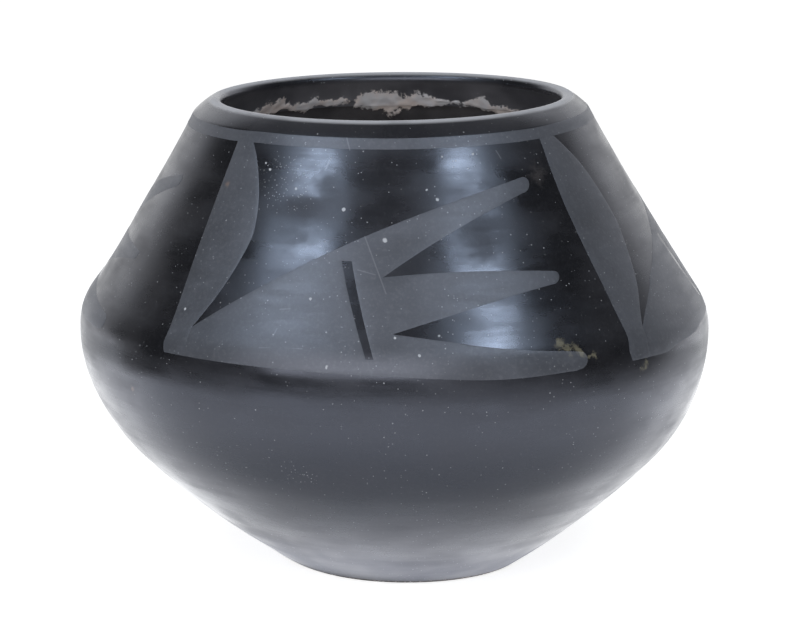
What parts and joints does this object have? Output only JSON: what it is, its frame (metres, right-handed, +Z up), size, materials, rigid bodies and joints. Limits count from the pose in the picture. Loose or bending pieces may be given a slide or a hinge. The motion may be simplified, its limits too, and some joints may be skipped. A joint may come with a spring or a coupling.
{
  "type": "pueblo pottery jar",
  "caption": "Wide-shouldered coil-built black pottery jar with a polished slip, a flat base, an open mouth and a matte painted band of leaves and feather fans.",
  "frame": {"origin": "centre of the flat resting face, on the jar's axis", "axes": "+Z up along the jar's axis; the middle of painted unit 1 faces -Y; +X is on the right of someone who looks along +Y"},
  "size_m": [0.2002, 0.2002, 0.15],
  "materials": {
    "fired_clay": "rough, smoke-blackened, scraped",
    "polished_slip": "stone-burnished gloss",
    "matte_paint": "matte"
  },
  "bodies": {
    "root": {"base_pad": "fired_clay", "wall_coil_1": "fired_clay", "wall_coil_2": "fired_clay", "wall_coil_3": "fired_clay", "wall_coil_4": "fired_clay", "wall_coil_5": "fired_clay", "wall_coil_6": "fired_clay", "wall_coil_7": "fired_clay", "wall_coil_8": "fired_clay", "rim_coil": "fired_clay", "polished_slip": "polished_slip", "rim_band": "matte_paint", "leaf_1": "matte_paint", "leaf_2": "matte_paint", "leaf_3": "matte_paint", "leaf_4": "matte_paint", "fan_1": "matte_paint", "fan_2": "matte_paint", "fan_3": "matte_paint", "fan_4": "matte_paint"}
  },
  "joints": []
}
